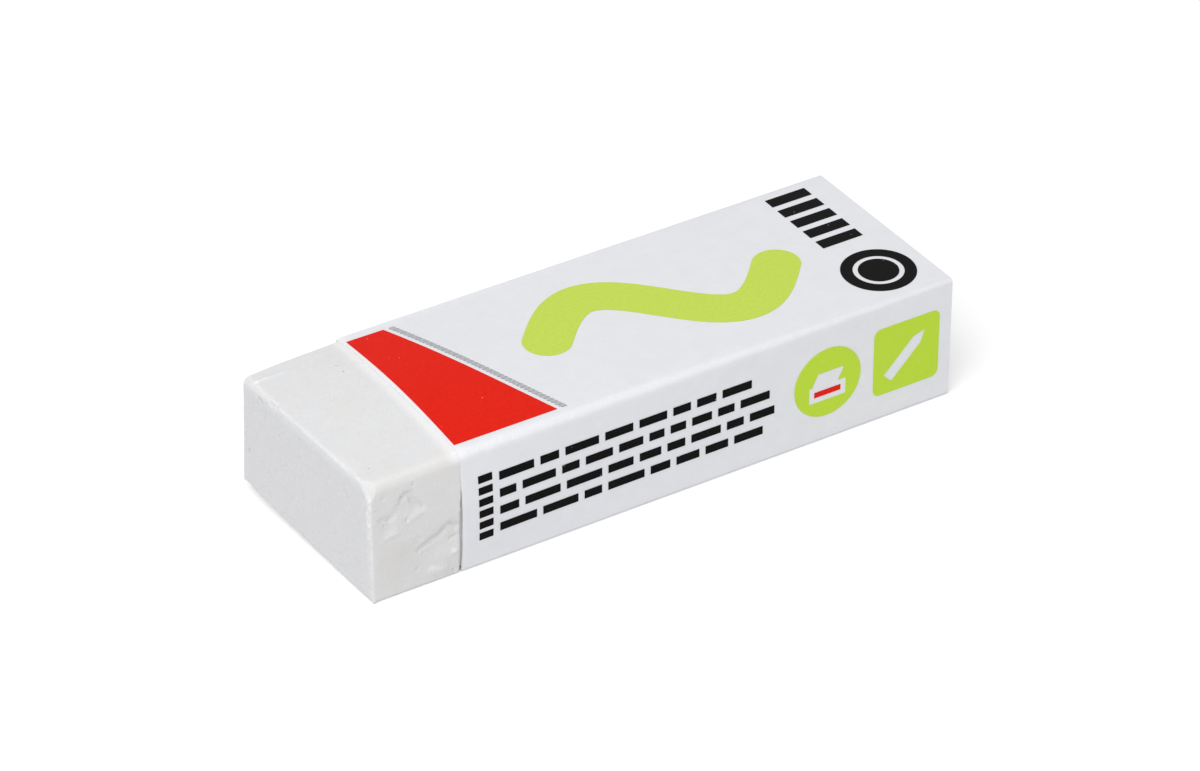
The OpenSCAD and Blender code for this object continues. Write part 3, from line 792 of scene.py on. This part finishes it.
sleeve.data.materials.append(card)
sleeve.data.materials.append(bare_board("bare_card_inside", (222, 220, 210), (206, 203, 190)))
sleeve.data.materials.append(bare_board("cut_card_edge", (240, 240, 240), (224, 222, 212)))


# ---- Printed shapes ----
# Thin fields of ink on the card: a red field, a hatched grey rule, a lime wave, black bars and a
# ringed disc on the top, and black dashes and two lime panels on the near side. Specks of the
# card show through.
def ink(name, pale, deep, drawing=None):
    """A slightly mottled ink with tiny specks left bare, and a drawing inside its field."""
    material, tree, place = new_material(name)
    colour = mottled(tree, place, 0.35 * MM, 0.8, shade(*pale), shade(*deep))
    colour = mottled(tree, place, 0.13 * MM, 0.35, colour, shade(*deep))
    if drawing:
        colour = drawing(tree, place, colour)
    missed = use(tree, specks, Place=place, Spacing=0.8 * MM, Size=0.05 * MM, Share=0.3)
    colour = tint(tree, missed, colour, shade(224, 225, 228), 0.5)
    surface = put(tree, "BsdfPrincipled", {
        "Base Color": colour, "Roughness": 0.5, "Specular IOR Level": 0.05})
    put(tree, "OutputMaterial", {"Surface": surface.outputs[0]})
    return material


def hatching(tree, place, colour):
    """Slanting hair lines of ink with bare card between them."""
    axes = put(tree, "SeparateXYZ", {"Vector": place})
    slant = math_node(tree, "ADD", axes.outputs["X"], axes.outputs["Y"])
    line = math_node(tree, "PINGPONG", slant, 0.14 * MM)
    return tint(tree, rescale(tree, line, 0.04 * MM, 0.09 * MM), colour, shade(222, 223, 227))


def lime_side_without_painted_sheen(tree, place, colour):
    """Deepens the lime on the near side; the paler lime on the top is painted sheen."""
    axes = put(tree, "SeparateXYZ", {"Vector": place})
    side = math_node(tree, "LESS_THAN", axes.outputs["Y"], sleeve_near + 0.1 * MM)
    return tint(tree, side, colour, shade(187, 220, 54), 0.7)


inks = {
    "red_print": ink("red_ink", (228, 37, 22), (219, 30, 16)),
    # the lime is paler on the top as painted sheen
    "lime_print": ink("lime_ink", (198, 220, 93), (190, 213, 84), lime_side_without_painted_sheen),
    "black_print": ink("black_ink", (9, 7, 6), (3, 3, 3)),
    "grey_print": ink("grey_ink", (96, 98, 104), (84, 86, 92), hatching)}
for node, material in inks.items():
    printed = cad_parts[node]
    printed.data.materials.clear()
    printed.data.materials.append(material)


# ---- Floor and light ----
# A plain white table in a white room, with one wide soft lamp above its near left side. Table and
# room look whiter than the light that they give.
bpy.ops.object.select_all(action="DESELECT")
bpy.ops.mesh.primitive_plane_add(size=4, location=(0, 0, cad_low[2] - 0.03 * MM))
floor = bpy.context.object
floor.name = "floor"
bpy.ops.object.transform_apply()


def looked_at(tree):
    """1 where the camera, a reflection or a clear piece sees the surface, and 0 for its light."""
    seen = put(tree, "LightPath")
    mirrored = math_node(
        tree, "MAXIMUM", seen.outputs["Is Glossy Ray"], seen.outputs["Is Transmission Ray"])
    return math_node(tree, "MAXIMUM", seen.outputs["Is Camera Ray"], mirrored)


white, tree, place = new_material("plain_white_floor")
surface = put(tree, "BsdfDiffuse", {"Color": shade(235, 235, 235)})
lift = put(tree, "Emission", {"Color": (1, 1, 1, 1), "Strength": 0.26})
nothing = put(tree, "Emission", {"Strength": 0})
glow = put(tree, "MixShader", {0: looked_at(tree), 1: nothing.outputs[0], 2: lift.outputs[0]})
both = put(tree, "AddShader", {0: surface.outputs[0], 1: glow.outputs[0]})
put(tree, "OutputMaterial", {"Surface": both.outputs[0]})
floor.data.materials.append(white)

room_light = 0.55
world = bpy.data.worlds.new("white_room")
bpy.context.scene.world = world
world.use_nodes = True
world.node_tree.nodes.clear()
room = put(world.node_tree, "Background", {"Color": (1, 1, 1, 1), "Strength": room_light})
backdrop = put(world.node_tree, "Background", {"Color": (1, 1, 1, 1), "Strength": 1})
either = put(world.node_tree, "MixShader", {
    0: looked_at(world.node_tree), 1: room.outputs[0], 2: backdrop.outputs[0]})
put(world.node_tree, "OutputWorld", {"Surface": either.outputs[0]})

lamp = bpy.data.objects.new("soft_lamp", bpy.data.lights.new("soft_lamp", "AREA"))
bpy.context.collection.objects.link(lamp)
lamp.data.shape = "SQUARE"
lamp.data.size = 0.5
lamp.data.energy = 3.5
lamp.location = (-0.32, -0.28, 0.6)
lamp.rotation_euler = (-lamp.location).to_track_quat("-Z", "Y").to_euler()


# ---- Camera ----
# A long lens, held to the left of the near side and above it, and tipped a touch off level, so
# that the worn nose, the near side and the printed top all show.
turn, rise, roll = (math.radians(angle) for angle in (-31.778, 34.052, -0.278))
away = Vector((math.sin(turn) * math.cos(rise), -math.cos(turn) * math.cos(rise), math.sin(rise)))
side = Vector((math.cos(turn), math.sin(turn), 0))
camera = bpy.data.objects.new("camera", bpy.data.cameras.new("camera"))
bpy.context.collection.objects.link(camera)
camera.data.lens = 144.79
camera.data.sensor_width = 36
up = away.cross(side)
camera.matrix_world = Matrix.Translation(Vector((-200.29, -323.12, 263.37)) * MM) @ Matrix((
    side * math.cos(roll) + up * math.sin(roll), up * math.cos(roll) - side * math.sin(roll), away,
)).transposed().to_4x4()
bpy.context.scene.camera = camera
bpy.context.scene.view_settings.view_transform = "Standard"
